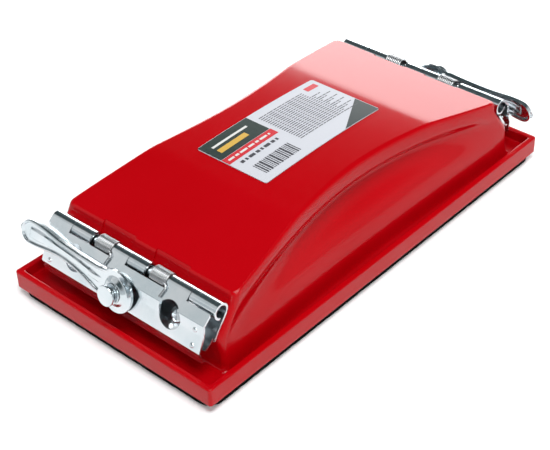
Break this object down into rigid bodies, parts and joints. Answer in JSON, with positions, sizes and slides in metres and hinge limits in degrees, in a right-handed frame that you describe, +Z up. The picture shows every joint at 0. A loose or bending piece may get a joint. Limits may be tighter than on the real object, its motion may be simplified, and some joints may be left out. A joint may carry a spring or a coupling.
{
  "type": "hand sanding block",
  "caption": "Hand sanding block: moulded tray with a hollow waisted handle, a foam pad below and a sprung paper clamp with a turning lever at each end.",
  "frame": {"origin": "middle of the block, at the underside of the pad", "axes": "+X along the length towards the far clamp, +Y across the width, +Z up through the handle"},
  "size_m": [0.21, 0.105, 0.0446],
  "materials": {
    "red_plastic": "glossy moulded plastic",
    "pad_foam": "dark closed-cell foam, slightly rough",
    "zinc_steel": "pressed sheet steel, bright zinc plated",
    "spring_steel": "drawn spring wire",
    "label_paper": "printed gloss paper"
  },
  "bodies": {
    "block": {"body_shell": "red_plastic", "base_plate": "red_plastic", "foam_pad": "pad_foam", "label": "label_paper", "near_back_plate": "zinc_steel", "near_hinge_pin": "zinc_steel", "near_lever_stud": "zinc_steel", "near_screw_left": "zinc_steel", "near_screw_right": "zinc_steel", "far_back_plate": "zinc_steel", "far_hinge_pin": "zinc_steel", "far_lever_stud": "zinc_steel", "far_screw_left": "zinc_steel", "far_screw_right": "zinc_steel"},
    "near_jaw": {"near_jaw_plate": "zinc_steel", "near_spring_left": "spring_steel", "near_spring_right": "spring_steel"},
    "near_collar": {"near_stud_collar": "zinc_steel"},
    "near_lever": {"near_clamp_lever": "zinc_steel"},
    "far_jaw": {"far_jaw_plate": "zinc_steel", "far_spring_left": "spring_steel", "far_spring_right": "spring_steel"},
    "far_collar": {"far_stud_collar": "zinc_steel"},
    "far_lever": {"far_clamp_lever": "zinc_steel"}
  },
  "joints": [
    {"name": "near_collar_slide", "type": "slide", "parent": "block", "child": "near_collar", "axis": [-0.9744, 0, 0.225], "range_m": [0, 0.0015]},
    {"name": "near_lever_turn", "type": "hinge", "parent": "near_collar", "child": "near_lever", "pos_m": [-0.09785, 0, 0.02397], "axis": [0.9744, 0, -0.225], "range_deg": [0, 90]},
    {"name": "near_jaw_open", "type": "hinge", "parent": "block", "child": "near_jaw", "pos_m": [-0.0878, 0, 0.031], "axis": [0, 1, 0], "range_deg": [0, 5.5]},
    {"name": "far_collar_slide", "type": "slide", "parent": "block", "child": "far_collar", "axis": [0.9744, 0, 0.225], "range_m": [0, 0.0015]},
    {"name": "far_lever_turn", "type": "hinge", "parent": "far_collar", "child": "far_lever", "pos_m": [0.09785, 0, 0.02397], "axis": [-0.9744, 0, -0.225], "range_deg": [0, 90]},
    {"name": "far_jaw_open", "type": "hinge", "parent": "block", "child": "far_jaw", "pos_m": [0.0878, 0, 0.031], "axis": [0, -1, 0], "range_deg": [0, 5.5]}
  ],
  "couplings": [
    {"joint": "near_collar_slide", "follows": "near_lever_turn", "m_per_rad": 0.000954},
    {"joint": "near_jaw_open", "follows": "near_lever_turn", "ratio": 0.0611},
    {"joint": "far_collar_slide", "follows": "far_lever_turn", "m_per_rad": 0.000954},
    {"joint": "far_jaw_open", "follows": "far_lever_turn", "ratio": 0.0611}
  ]
}
